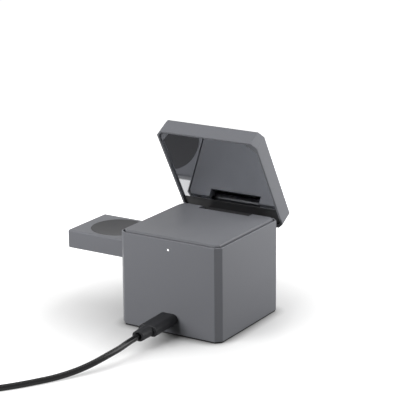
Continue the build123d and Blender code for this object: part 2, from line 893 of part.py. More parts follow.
far_plug_pieces = {
    "far_overmold": make_plug_overmold,
    "far_collar": make_plug_collar,
    "far_tip": make_plug_tip,
}

os.makedirs("parts", exist_ok=True)
solids = {name: make() for name, make in base_pieces.items()}
for name, make in lid_pieces.items():
    made = make()
    solids[name] = [opened(s) for s in made] if isinstance(made, list) else opened(made)
for name, make in port_plug_pieces.items():
    solids[name] = drooped(make())
for name, make in far_plug_pieces.items():
    solids[name] = at_far_end(make())
for name, solid in solids.items():
    shape = Compound(children=solid) if isinstance(solid, list) else solid
    export_step(shape, f"parts/{name}.step")
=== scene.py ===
from math import cos, pi, radians, sin

import bpy
from bpy.props import FloatProperty, FloatVectorProperty, IntProperty, PointerProperty
from mathutils import Matrix, Vector


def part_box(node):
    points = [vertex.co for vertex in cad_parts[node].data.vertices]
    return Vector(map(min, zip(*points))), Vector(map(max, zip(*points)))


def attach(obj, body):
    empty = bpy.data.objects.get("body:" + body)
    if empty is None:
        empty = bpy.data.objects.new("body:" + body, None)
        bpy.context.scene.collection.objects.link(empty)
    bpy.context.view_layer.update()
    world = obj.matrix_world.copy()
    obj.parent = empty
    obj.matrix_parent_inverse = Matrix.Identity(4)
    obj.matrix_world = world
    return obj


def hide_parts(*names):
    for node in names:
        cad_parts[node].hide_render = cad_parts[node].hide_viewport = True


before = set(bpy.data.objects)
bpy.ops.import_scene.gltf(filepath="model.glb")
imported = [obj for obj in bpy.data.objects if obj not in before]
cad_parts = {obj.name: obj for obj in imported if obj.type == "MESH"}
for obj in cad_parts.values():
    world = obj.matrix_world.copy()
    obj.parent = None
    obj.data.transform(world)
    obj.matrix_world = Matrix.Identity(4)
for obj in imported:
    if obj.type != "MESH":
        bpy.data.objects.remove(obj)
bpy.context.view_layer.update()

bl_info = {
    "name": "Folding Cube Charger",
    "version": (1, 0, 0),
    "blender": (4, 5, 0),
    "location": "View3D > Sidebar > Charger",
    "description": "Finishes, lead and studio stage for a folding cube charger",
    "category": "Object",
}

# Route of the lead's free stretch, from inside the plug's sleeve to the coil, in metres
LEAD_IN = (
    (0.0, 0.0558, 0.0081),
    (0.0, 0.0606, 0.0080),
    (0.0, 0.0675, 0.0077),
    (-0.0001, 0.0735, 0.0071),
    (0.0013, 0.0810, 0.0061),
    (0.0040, 0.0902, 0.0042),
    (0.0077, 0.0989, 0.0026),
    (0.0125, 0.1083, 0.0016),
    (0.0175, 0.1173, 0.0016),
    (0.0227, 0.1258, 0.0016),
    (0.0282, 0.1332, 0.0016),
    (0.0360, 0.1418, 0.0018),
)
# Route of the end that comes down off the coil to the other plug
LEAD_OUT = (
    (0.0522, 0.1585, 0.0108),
    (0.0626, 0.1620, 0.0083),
    (0.0734, 0.1589, 0.0055),
    (0.0825, 0.1515, 0.0036),
    (0.0867, 0.1430, 0.0028),
    (0.0867, 0.1330, 0.0028),
)
SHEATH_SIDES = 6                # bevel resolution of the lead's round section
SHEATH_STEPS = 4                # steps of the curve between two of its points
STEP_OVER = 0.25                # last share of a turn, in which the lead moves on to the next one

NOISE_MEAN = 0.5                # middle of a Noise texture's Fac
EDGE_SAMPLES = 6                # rays of the Bevel node that rounds edges
EDGE_GAIN = 4.0                 # how soon a rounded edge takes the paler tint of scuffs and painted highlight
HALF_TURN = 0.5                 # from between two turns of wire to the top of one, in turns
GROOVE_SHADE = 0.4                 # painted shade between two turns of wire
TRACK_WIDTH = 0.05              # width of a board's tracks, in steps of their pattern
TRACK_RUN = 1.7                 # length of the field between two tracks, in the same steps
RIM_LOSS = 0.35                 # share of the light that is lost at the pipe's rim
PIPE_FACE = (1.0, 0.0, 1.0)     # directions across the pipe, which lies along Y

WHITE = (1, 1, 1, 1)
FLOOR_REACH = 6.0               # half the floor's side, in metres
FLOOR_BOUNCE = 0.12             # grey of the floor for the light that it throws back
LAMP_AIM = (0.0, 0.0, 0.03)     # middle of the body, in metres
FILM_WIDTH = 36.0               # width of the camera's frame, in millimetres
NEAREST = 0.01                  # nearest thing that the camera shows, in metres

# Which finish each piece of the frame takes
FINISHES = {
    "shell": ("body_shell", "lid_shell", "drawer_tray"),
    "shaded_deck": ("top_deck",),
    "black": ("base_plate", "drawer_guide", "hinge_strip", "drawer_cover"),
    "mirror": ("mirror_panel",),
    "hinge": ("hinge_arm",),
    "soft_pad": ("phone_pad",),
    "foot": ("foot_pad",),
    "puck": ("watch_puck",),
    "light": ("light_pipe", "status_led"),
    "sleeve": ("plug_overmold", "plug_collar", "far_overmold", "far_collar"),
    "tie": ("cord_ties",),
    "steel": (
        "counterweight", "hinge_bracket", "usb_receptacle", "plug_tip", "far_tip", "magnet_ring",
        "watch_magnet",
    ),
    "turned": (
        "base_screws", "board_screws", "bracket_screws", "arm_screws", "cover_screws", "hinge_pin",
        "friction_washers",
    ),
    "copper": ("earbud_coil", "phone_coil", "watch_coil"),
    "ferrite": ("earbud_shield", "phone_shield", "watch_shield"),
    "board": ("main_board", "led_board"),
    "chip": ("board_parts", "receptacle_tongue"),
}


class ChargerColours(bpy.types.PropertyGroup):
    """Colours of the charger's finishes."""

    shell: FloatVectorProperty(
        name="Shell grey", description="Satin grey of the housing, lid and slab",
        subtype="COLOR", min=0, max=1, default=(0.168, 0.172, 0.187))
    # Painted shade: this grey is the shell's grey made darker, as if in shade
    shaded_deck: FloatVectorProperty(
        name="Deck grey", description="Satin grey of the raised deck",
        subtype="COLOR", min=0, max=1, default=(0.140, 0.143, 0.155))
    black: FloatVectorProperty(
        name="Moulded black", description="Black of the inner mouldings, foot, chips and ties",
        subtype="COLOR", min=0, max=1, default=(0.010, 0.010, 0.011))
    mirror: FloatVectorProperty(
        name="Mirror", description="Tint of the polished underside of the lid",
        subtype="COLOR", min=0, max=1, default=(0.78, 0.79, 0.81))
    hinge: FloatVectorProperty(
        name="Hinge grey", description="Dark coating of the hinge, puck and ferrites",
        subtype="COLOR", min=0, max=1, default=(0.030, 0.030, 0.033))
    soft_pad: FloatVectorProperty(
        name="Pad grey", description="Soft-touch surface of the round pad",
        subtype="COLOR", min=0, max=1, default=(0.060, 0.061, 0.065))
    lead: FloatVectorProperty(
        name="Lead black", description="Outer sheath of the lead",
        subtype="COLOR", min=0, max=1, default=(0.0065, 0.0065, 0.007))
    sleeve: FloatVectorProperty(
        name="Plug black", description="Moulded sleeves of the plugs",
        subtype="COLOR", min=0, max=1, default=(0.0122, 0.0126, 0.0144))
    steel: FloatVectorProperty(
        name="Steel", description="Plain steel of screws, pin and plug tips",
        subtype="COLOR", min=0, max=1, default=(0.56, 0.56, 0.57))
    copper: FloatVectorProperty(
        name="Copper", description="Enamelled winding of the coils",
        subtype="COLOR", min=0, max=1, default=(0.62, 0.26, 0.11))
    board: FloatVectorProperty(
        name="Board green", description="Lacquer of the circuit boards",
        subtype="COLOR", min=0, max=1, default=(0.012, 0.085, 0.035))


class ChargerLead(bpy.types.PropertyGroup):
    """Sizes of the lead and of its wound length."""

    diameter: FloatProperty(
        name="Diameter", description="Outer diameter of the lead", unit="LENGTH", default=0.0032)
    length: FloatProperty(
        name="Length", description="Real length of the lead", unit="LENGTH", default=1.5)
    coil_centre: FloatVectorProperty(
        name="Coil centre", description="Middle of the coil on the floor",
        subtype="XYZ", unit="LENGTH", default=(0.0609, 0.1370, 0.0006))
    coil_radius: FloatProperty(
        name="Coil radius", description="Radius at the middle of the turns", unit="LENGTH", default=0.017)
    columns: IntProperty(
        name="Turns side by side", description="Turns in one layer of the coil", min=1, default=3)
    layers: IntProperty(
        name="Layers", description="Layers of turns on each other", min=1, default=4)
    start_angle: FloatProperty(
        name="Start angle", description="Where the lead joins the coil",
        subtype="ANGLE", unit="ROTATION", default=radians(138.2))
    turn_points: IntProperty(
        name="Points per turn", description="Control points in one turn", min=12, default=16)


class ChargerStage(bpy.types.PropertyGroup):
    """Camera, lamps and floor."""

    eye: FloatVectorProperty(
        name="Camera place", description="Where the camera stands",
        subtype="XYZ", unit="LENGTH", default=(-0.42275, 0.67412, 0.29446))
    azimuth: FloatProperty(
        name="Azimuth", description="Turn of the view about the upright axis",
        subtype="ANGLE", unit="ROTATION", default=radians(212.07))
    elevation: FloatProperty(
        name="Elevation", description="Height of the view above the horizon",
        subtype="ANGLE", unit="ROTATION", default=radians(16.19))
    roll: FloatProperty(
        name="Roll", description="Lean of the view",
        subtype="ANGLE", unit="ROTATION", default=radians(-0.51))
    lens: FloatProperty(
        name="Lens", description="Focal length in millimetres on a 36 mm frame",
        unit="CAMERA", default=145.76)
    left_place: FloatVectorProperty(
        name="Left softbox place", description="Middle of the softbox on the slab's side",
        subtype="XYZ", unit="LENGTH", default=(0.13, 0.31, 0.21))
    left_power: FloatProperty(
        name="Left softbox power", description="Power of the softbox on the slab's side",
        unit="POWER", default=1.60)
    right_place: FloatVectorProperty(
        name="Right softbox place", description="Middle of the softbox on the other side",
        subtype="XYZ", unit="LENGTH", default=(-0.21, -0.13, 0.19))
    right_power: FloatProperty(
        name="Right softbox power", description="Power of the softbox on the other side",
        unit="POWER", default=1.09)
    front_place: FloatVectorProperty(
        name="Front softbox place", description="Middle of the softbox on the hinge's side",
        subtype="XYZ", unit="LENGTH", default=(0.0, -0.30, 0.16))
    front_power: FloatProperty(
        name="Front softbox power", description="Power of the softbox on the hinge's side",
        unit="POWER", default=0.30)
    softbox: FloatProperty(
        name="Softbox size", description="Side of each square softbox", unit="LENGTH", default=0.30)
    strip_place: FloatVectorProperty(
        name="Strip light place", description="Middle of the strip light over the body",
        subtype="XYZ", unit="LENGTH", default=(0.03, -0.10, 0.38))
    strip_power: FloatProperty(
        name="Strip light power", description="Power of the strip light", unit="POWER", default=0.20)
    strip_width: FloatProperty(
        name="Strip light width", description="Short side of the strip light", unit="LENGTH", default=0.012)
    strip_length: FloatProperty(
        name="Strip light length", description="Long side of the strip light", unit="LENGTH", default=0.40)
    fill: FloatProperty(
        name="Fill", description="Even light from all round", min=0, default=0.05)
    floor_tone: FloatProperty(
        name="Floor tone", description="How much of the floor's white comes from the lamps",
        subtype="FACTOR", min=0, max=1, default=0.68)
    contact_shade_reach: FloatProperty(
        name="Contact shadow", description="How far the dark rim of what stands on the floor reaches",
        unit="LENGTH", default=0.006)
    white_from: FloatProperty(
        name="White from", description="How far out the floor begins to turn plain white",
        unit="LENGTH", default=0.03)
    white_at: FloatProperty(
        name="White at", description="How far out the floor is plain white", unit="LENGTH", default=0.16)


# Shader node groups

COLOUR, VALUE, VECTOR = "NodeSocketColor", "NodeSocketFloat", "NodeSocketVector"


def new_group(name, inputs, outputs):
    """An empty shader node group with named sockets, and its two end nodes."""
    group = bpy.data.node_groups.new(name, "ShaderNodeTree")
    for label, kind, value in inputs:
        socket = group.interface.new_socket(label, in_out="INPUT", socket_type=kind)
        socket.default_value = value
    for label, kind in outputs:
        group.interface.new_socket(label, in_out="OUTPUT", socket_type=kind)
    return group, group.nodes.new("NodeGroupInput"), group.nodes.new("NodeGroupOutput")


def feed(tree, node, given):
    """Feeds a node's first inputs from sockets, plain numbers or vectors."""
    for socket, value in zip(node.inputs, given):
        if isinstance(value, bpy.types.NodeSocket):
            tree.links.new(value, socket)
        else:
            socket.default_value = value


def math_node(tree, operation, first, second):
    """The result of a Math node."""
    node = tree.nodes.new("ShaderNodeMath")
    node.operation = operation
    feed(tree, node, (first, second))
    return node.outputs[0]


def vector_node(tree, operation, *given):
    """A Vector Math node."""
    node = tree.nodes.new("ShaderNodeVectorMath")
    node.operation = operation
    feed(tree, node, given)
    return node


def own_place(tree):
    """Places in the object's own coordinates, in metres."""
    return tree.nodes.new("ShaderNodeTexCoord").outputs["Object"]


def noise_node(tree, scale, detail):
    """Noise in the object's own coordinates."""
    noise = tree.nodes.new("ShaderNodeTexNoise")
    noise.inputs["Detail"].default_value = detail
    tree.links.new(own_place(tree), noise.inputs["Vector"])
    tree.links.new(scale, noise.inputs["Scale"])
    return noise


def sway(tree, noise, spread, middle):
    """A level that follows a noise to both sides of its middle."""
    low = math_node(tree, "SUBTRACT", noise.outputs["Fac"], NOISE_MEAN)
    return math_node(tree, "ADD", math_node(tree, "MULTIPLY", low, spread), middle)


def tint_node(tree, colour, level):
    """A colour made lighter or darker by a level."""
    tint = vector_node(tree, "SCALE", colour)
    tree.links.new(level, tint.inputs["Scale"])
    return tint.outputs[0]


def grain_group():
    """Fine grain of a painted or moulded skin: a tint that varies a little, and a height."""
    group, given, made = new_group(
        "Fine grain",
        [("Colour", COLOUR, (0.2, 0.2, 0.2, 1)), ("Scale", VALUE, 3000.0), ("Spread", VALUE, 0.1)],
        [("Colour", COLOUR), ("Height", VALUE)])
    noise = noise_node(group, given.outputs["Scale"], detail=2.0)
    level = sway(group, noise, given.outputs["Spread"], 1.0)
    group.links.new(tint_node(group, given.outputs["Colour"], level), made.inputs["Colour"])
    group.links.new(noise.outputs["Fac"], made.inputs["Height"])
    return group


def sheen_group():
    """Slow change of roughness over a handled surface."""
    group, given, made = new_group(
        "Handled sheen",
        [("Roughness", VALUE, 0.4), ("Scale", VALUE, 60.0), ("Spread", VALUE, 0.1)],
        [("Roughness", VALUE)])
    noise = noise_node(group, given.outputs["Scale"], detail=4.0)
    level = sway(group, noise, given.outputs["Spread"], given.outputs["Roughness"])
    group.links.new(level, made.inputs["Roughness"])
    return group


def edge_group():
    """Softened edges: a normal that rounds them, and a tint paler along them in patches, part scuffs and
    part painted edge highlight.
    """
    group, given, made = new_group(
        "Soft edge",
        [("Colour", COLOUR, (0.2, 0.2, 0.2, 1)), ("Radius", VALUE, 0.0003), ("Wear", VALUE, 0.5),
         ("Scale", VALUE, 260.0)],
        [("Colour", COLOUR), ("Normal", VECTOR)])
    bevel = group.nodes.new("ShaderNodeBevel")
    bevel.samples = EDGE_SAMPLES
    group.links.new(given.outputs["Radius"], bevel.inputs["Radius"])
    shape = group.nodes.new("ShaderNodeNewGeometry")
    dot = vector_node(group, "DOT_PRODUCT", bevel.outputs["Normal"], shape.outputs["Normal"])
    turned = math_node(group, "SUBTRACT", 1.0, dot.outputs["Value"])
    edge_mask = math_node(group, "MINIMUM", math_node(group, "MULTIPLY", turned, EDGE_GAIN), 1.0)
    patch = noise_node(group, given.outputs["Scale"], detail=3.0)
    # Paler tint along the edges in patches: part scuffs, part painted edge highlight
    worn_and_lit = math_node(group, "MULTIPLY", edge_mask, patch.outputs["Fac"])
    level = math_node(group, "ADD", math_node(group, "MULTIPLY", worn_and_lit, given.outputs["Wear"]), 1.0)
    group.links.new(tint_node(group, given.outputs["Colour"], level), made.inputs["Colour"])
    group.links.new(bevel.outputs["Normal"], made.inputs["Normal"])
    return group


def brushed_group():
    """Fine lines of a drawn or turned metal, as a roughness and a height."""
    group, given, made = new_group(
        "Brushed lines",
        [("Roughness", VALUE, 0.3), ("Spread", VALUE, 0.25),
         ("Stretch", VECTOR, (12000.0, 400.0, 12000.0))],
        [("Roughness", VALUE), ("Height", VALUE)])
    drawn = vector_node(group, "MULTIPLY", own_place(group), given.outputs["Stretch"])
    lines = group.nodes.new("ShaderNodeTexNoise")
    lines.inputs["Scale"].default_value = 1.0
    group.links.new(drawn.outputs[0], lines.inputs["Vector"])
    level = sway(group, lines, given.outputs["Spread"], given.outputs["Roughness"])
    group.links.new(level, made.inputs["Roughness"])
    group.links.new(lines.outputs["Fac"], made.inputs["Height"])
    return group


def winding_group():
    """Turns of wire round the middle of a flat coil: a height, and a tint darkened by painted shade between
    the turns.
    """
    group, given, made = new_group(
        "Winding",
        [("Colour", COLOUR, (0.6, 0.3, 0.1, 1)), ("Centre", VECTOR, (0.0, 0.0, 0.0)),
         ("Pitch", VALUE, 0.0006)],
        [("Colour", COLOUR), ("Height", VALUE)])
    apart = vector_node(group, "DISTANCE", own_place(group), given.outputs["Centre"])
    turns = math_node(group, "DIVIDE", apart.outputs["Value"], given.outputs["Pitch"])
    wave = math_node(group, "PINGPONG", turns, HALF_TURN)
    # Painted shade: the copper is darkest between two turns
    lift = math_node(group, "MULTIPLY", wave, (1.0 - GROOVE_SHADE) / HALF_TURN)
    level = math_node(group, "ADD", lift, GROOVE_SHADE)
    group.links.new(tint_node(group, given.outputs["Colour"], level), made.inputs["Colour"])
    group.links.new(wave, made.inputs["Height"])
    return group


def tracks_group():
    """Copper tracks under a board's lacquer: a tint and a height."""
    group, given, made = new_group(
        "Board tracks",
        [("Colour", COLOUR, (0.01, 0.08, 0.03, 1)), ("Track", COLOUR, (0.05, 0.2, 0.08, 1)),
         ("Scale", VALUE, 300.0)],
        [("Colour", COLOUR), ("Height", VALUE)])
    tracks = group.nodes.new("ShaderNodeTexBrick")
    tracks.inputs["Mortar Size"].default_value = TRACK_WIDTH
    tracks.inputs["Brick Width"].default_value = TRACK_RUN
    group.links.new(own_place(group), tracks.inputs["Vector"])
    fed = {"Color1": "Colour", "Color2": "Colour", "Mortar": "Track", "Scale": "Scale"}
    for label, source in fed.items():
        group.links.new(given.outputs[source], tracks.inputs[label])
    group.links.new(tracks.outputs["Color"], made.inputs["Colour"])
    group.links.new(tracks.outputs["Fac"], made.inputs["Height"])
    return group


def glow_group():
    """Light at the end of a clear pipe, brightest in its middle."""
    group, given, made = new_group(
        "Pipe glow",
        [("Centre", VECTOR, (0.0, 0.0, 0.0)), ("Radius", VALUE, 0.0005)],
        [("Colour", COLOUR)])
    across = vector_node(group, "SUBTRACT", own_place(group), given.outputs["Centre"])
    flat = vector_node(group, "MULTIPLY", across.outputs[0], PIPE_FACE)
    off = vector_node(group, "LENGTH", flat.outputs[0])
    share = math_node(group, "DIVIDE", off.outputs["Value"], given.outputs["Radius"])
    fall = math_node(group, "MULTIPLY", math_node(group, "MINIMUM", share, 1.0), RIM_LOSS)
    level = math_node(group, "SUBTRACT", 1.0, fall)
    whole = group.nodes.new("ShaderNodeCombineColor")
    for label in ("Red", "Green", "Blue"):
        group.links.new(level, whole.inputs[label])
    group.links.new(whole.outputs[0], made.inputs["Colour"])
    return group


GROUP_MAKERS = {
    "Fine grain": grain_group,
    "Handled sheen": sheen_group,
    "Soft edge": edge_group,
    "Brushed lines": brushed_group,
    "Winding": winding_group,
    "Board tracks": tracks_group,
    "Pipe glow": glow_group,
}


def add_group(tree, name, **values):
    """A node of one of the shared groups, made once, with its own values."""
    node = tree.nodes.new("ShaderNodeGroup")
    node.node_tree = bpy.data.node_groups.get(name) or GROUP_MAKERS[name]()
    for label, value in values.items():
        node.inputs[label].default_value = value
    return node


# Materials

def new_material(name):
    """A material with its Principled shader."""
    material = bpy.data.materials.new(name)
    material.use_nodes = True
    return material, material.node_tree, material.node_tree.nodes["Principled BSDF"]


def raise_bump(tree, shader, height, strength, distance=0.0001, normal=None):
    """A Bump node from a height to the shader's normal."""
    raised = tree.nodes.new("ShaderNodeBump")
    raised.inputs["Strength"].default_value = strength
    raised.inputs["Distance"].default_value = distance
    tree.links.new(height, raised.inputs["Height"])
    if normal:
        tree.links.new(normal, raised.inputs["Normal"])
    tree.links.new(raised.outputs["Normal"], shader.inputs["Normal"])


def set_plain(shader, **plain):
    """Values that are the same all over the surface, named with _ for each space."""
    for label, value in plain.items():
        shader.inputs[label.replace("_", " ")].default_value = value


def skin_material(name, colour, roughness, grain=3000.0, spread=0.12, bump=0.05, edge=0.0003,
                  wear_and_highlight=0.3, **plain):
    """A painted, moulded or rubber skin: fine grain, handled sheen and softened edges, paler in patches
    along them as scuffs and painted highlight.
    """
    material, tree, shader = new_material(name)
    speck = add_group(tree, "Fine grain", Colour=(*colour, 1), Scale=grain, Spread=spread)
    sheen = add_group(tree, "Handled sheen", Roughness=roughness)
    soft = add_group(tree, "Soft edge", Radius=edge, Wear=wear_and_highlight)
    tree.links.new(speck.outputs["Colour"], soft.inputs["Colour"])
    tree.links.new(soft.outputs["Colour"], shader.inputs["Base Color"])
    tree.links.new(sheen.outputs["Roughness"], shader.inputs["Roughness"])
    raise_bump(tree, shader, speck.outputs["Height"], bump, normal=soft.outputs["Normal"])
    set_plain(shader, **plain)
    return material


def metal_material(name, colour, roughness, stretch, grain=700.0, spread=0.12, bump=0.15,
                   depth=0.00003, edge=0.0001, wear_and_highlight=0.2):
    """Bare metal with the lines of its drawing or turning."""
    material, tree, shader = new_material(name)
    film = add_group(tree, "Fine grain", Colour=(*colour, 1), Scale=grain, Spread=spread)
    lines = add_group(tree, "Brushed lines", Roughness=roughness, Stretch=stretch)
    soft = add_group(tree, "Soft edge", Radius=edge, Wear=wear_and_highlight)
    tree.links.new(film.outputs["Colour"], soft.inputs["Colour"])
    tree.links.new(soft.outputs["Colour"], shader.inputs["Base Color"])
    tree.links.new(lines.outputs["Roughness"], shader.inputs["Roughness"])
    raise_bump(tree, shader, lines.outputs["Height"], bump, depth, soft.outputs["Normal"])
    set_plain(shader, Metallic=1.0)
    return material


def seen_ray(tree):
    """1 for rays from the camera, in gloss or through glass, and 0 for the rest."""
    path = tree.nodes.new("ShaderNodeLightPath")
    seen = math_node(tree, "MAXIMUM", path.outputs["Is Camera Ray"], path.outputs["Is Glossy Ray"])
    return math_node(tree, "MAXIMUM", seen, path.outputs["Is Transmission Ray"])


def grey(level):
    """A plain grey, as a colour socket takes it."""
    return (level, level, level, 1)


def put_on(name, material):
    """Gives one frame node a material."""
    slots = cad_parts[name].data.materials
    slots.clear()
    slots.append(material)


def paint(finish, material):
    """Puts a material on every frame node of one finish."""
    for name in FINISHES[finish]:
        put_on(name, material)


# Operators, one for each group of pieces

class CHARGER_OT_dress_housing(bpy.types.Operator):
    """Satin skins of the housing, lid, slab and deck, and the mouldings under them"""

    bl_idname = "charger.dress_housing"
    bl_label = "Dress housing"

    def execute(self, context):
        colours = context.scene.charger_colours
        paint("shell", skin_material("shell_satin", colours.shell, roughness=0.45, Specular_IOR_Level=0.15))
        # The raised top takes the shell's grey made darker: painted shade
        paint("shaded_deck", skin_material("deck_satin_painted_shade", colours.shaded_deck, roughness=0.45, Specular_IOR_Level=0.15))
        paint("black", skin_material("moulded_black", colours.black, roughness=0.45))
        paint("foot", skin_material("foot_rubber", colours.black, roughness=0.8, grain=1500.0, bump=0.2))
        return {"FINISHED"}


class CHARGER_OT_dress_lid(bpy.types.Operator):
    """Polished underside of the lid and the soft round pad on its other side"""

    bl_idname = "charger.dress_lid"
    bl_label = "Dress lid"

    def execute(self, context):
        colours = context.scene.charger_colours
        material, tree, shader = new_material("lid_mirror")
        smear = add_group(tree, "Handled sheen", Roughness=0.045, Scale=90.0, Spread=0.03)
        film = add_group(tree, "Fine grain", Colour=(*colours.mirror, 1), Scale=40.0, Spread=0.03)
        tree.links.new(film.outputs["Colour"], shader.inputs["Base Color"])
        tree.links.new(smear.outputs["Roughness"], shader.inputs["Roughness"])
        set_plain(shader, Metallic=1.0)
        paint("mirror", material)
        paint("soft_pad", skin_material(
            "pad_soft_touch", colours.soft_pad, roughness=0.75, grain=2200.0, bump=0.15))
        return {"FINISHED"}


class CHARGER_OT_dress_slab(bpy.types.Operator):
    """Smooth dished puck in the sliding slab"""

    bl_idname = "charger.dress_slab"
    bl_label = "Dress slab"

    def execute(self, context):
        colours = context.scene.charger_colours
        paint("puck", skin_material(
            "puck_satin", colours.hinge, roughness=0.5, bump=0.02, Specular_IOR_Level=0.25))
        return {"FINISHED"}


class CHARGER_OT_dress_hinge(bpy.types.Operator):
    """Dark coating of the hinge"""

    bl_idname = "charger.dress_hinge"
    bl_label = "Dress hinge"

    def execute(self, context):
        colours = context.scene.charger_colours
        paint("hinge", skin_material("hinge_coating", colours.hinge, roughness=0.4, Metallic=0.3))
        return {"FINISHED"}


class CHARGER_OT_dress_inside(bpy.types.Operator):
    """Boards, coils, ferrites, metal pieces and the status light"""

    bl_idname = "charger.dress_inside"
    bl_label = "Dress inside"

    def execute(self, context):
        colours = context.scene.charger_colours
        paint("steel", metal_material(
            "drawn_steel", colours.steel, roughness=0.3, stretch=(9000.0, 400.0, 9000.0)))
        paint("turned", metal_material(
            "turned_steel", colours.steel, roughness=0.25, stretch=(400.0, 9000.0, 9000.0)))
        paint("ferrite", skin_material("ferrite", colours.hinge, roughness=0.7, grain=5000.0, spread=0.5))
        paint("chip", skin_material("chip_epoxy", colours.black, roughness=0.6, grain=6000.0, spread=0.4))
        self.lacquer(colours.board)
        self.wind(colours.copper)
        self.light_up()
        return {"FINISHED"}

    def lacquer(self, colour):
        """Green lacquer with the tracks showing through it."""
        material, tree, shader = new_material("board_lacquer")
        tracks = add_group(tree, "Board tracks", Colour=(*colour, 1))
        sheen = add_group(tree, "Handled sheen", Roughness=0.3, Scale=200.0)
        tree.links.new(tracks.outputs["Colour"], shader.inputs["Base Color"])
        tree.links.new(sheen.outputs["Roughness"], shader.inputs["Roughness"])
        raise_bump(tree, shader, tracks.outputs["Height"], strength=0.3)
        paint("board", material)

    def wind(self, colour):
        """Copper with the turns of its wire."""
        for name in FINISHES["copper"]:
            low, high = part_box(name)
            material, tree, shader = new_material(f"{name}_wire")
            turns = add_group(tree, "Winding", Colour=(*colour, 1), Centre=(low + high) / 2)
            enamel = add_group(tree, "Handled sheen", Roughness=0.3, Scale=500.0)
            tree.links.new(turns.outputs["Colour"], shader.inputs["Base Color"])
            tree.links.new(enamel.outputs["Roughness"], shader.inputs["Roughness"])
            raise_bump(tree, shader, turns.outputs["Height"], strength=0.6, distance=0.0003)
            set_plain(shader, Metallic=1.0)
            put_on(name, material)

    def light_up(self):
        """White light in the clear pipe, a little weaker towards its rim."""
        low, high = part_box("light_pipe")
        material, tree, shader = new_material("light_white")
        glow = add_group(tree, "Pipe glow", Centre=(low + high) / 2)
        frost = add_group(tree, "Handled sheen", Roughness=0.35, Scale=2000.0)
        tree.links.new(glow.outputs["Colour"], shader.inputs["Base Color"])
        tree.links.new(glow.outputs["Colour"], shader.inputs["Emission Color"])
        tree.links.new(frost.outputs["Roughness"], shader.inputs["Roughness"])
        set_plain(shader, Emission_Strength=1.3)
        paint("light", material)


class CHARGER_OT_lay_lead(bpy.types.Operator):
    """Lead from the plug along the floor to its tied coil and its other plug"""

    bl_idname = "charger.lay_lead"
    bl_label = "Lay lead"

    def execute(self, context):
        lead = context.scene.charger_lead
        colours = context.scene.charger_colours
        curve = bpy.data.curves.new("lead", "CURVE")
        curve.dimensions = "3D"
        curve.bevel_depth = lead.diameter / 2
        curve.bevel_resolution = SHEATH_SIDES
        curve.resolution_u = SHEATH_STEPS
        curve.use_fill_caps = True
        points = [*LEAD_IN, *self.coil(lead), *LEAD_OUT]
        spline = curve.splines.new("NURBS")
        spline.points.add(len(points) - 1)
        for point, place in zip(spline.points, points):
            point.co = (*place, 1)
        spline.order_u = 3
        spline.use_endpoint_u = True
        sheath = bpy.data.objects.new("lead", curve)
        context.scene.collection.objects.link(sheath)
        curve.materials.append(skin_material(
            "lead_sheath", colours.lead, roughness=0.16, bump=0.01, Specular_IOR_Level=0.25))
        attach(sheath, "base")
        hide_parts("cord_run", "cord_coil", "cord_tail")
        paint("sleeve", skin_material("plug_sleeve", colours.sleeve, roughness=0.5, Specular_IOR_Level=0.3))
        paint("tie", skin_material("tie_rubber", colours.black, roughness=0.7))
        return {"FINISHED"}

    def coil(self, lead):
        """Turns wound inwards and outwards by layers, stepping over in the last part of each turn."""
        half = (lead.columns - 1) / 2
        radii = [lead.coil_radius + (half - k) * lead.diameter for k in range(lead.columns)]
        turns = []
        for layer in range(lead.layers):
            height = lead.coil_centre.z + (layer + 0.5) * lead.diameter
            order = radii if layer % 2 == 0 else radii[::-1]
            turns += [(radius, height) for radius in order]
        step = 2 * pi / lead.turn_points
        # The spline runs inside its points. Where it is nearest to one, the point's own weight is
        # three quarters and its two neighbours share the rest
        own, sides = 0.75, 0.25
        pull = own + sides * cos(step)
        places = []
        for k, (radius, height) in enumerate(turns):
            next_radius, next_height = turns[min(k + 1, len(turns) - 1)]
            for j in range(lead.turn_points):
                done = max(0.0, (j / lead.turn_points - (1 - STEP_OVER)) / STEP_OVER)
                share = done * done * (3 - 2 * done)
                reach = (radius + (next_radius - radius) * share) / pull
                angle = lead.start_angle - step * j
                places.append((
                    lead.coil_centre.x + reach * cos(angle),
                    lead.coil_centre.y + reach * sin(angle),
                    height + (next_height - height) * share))
        return places


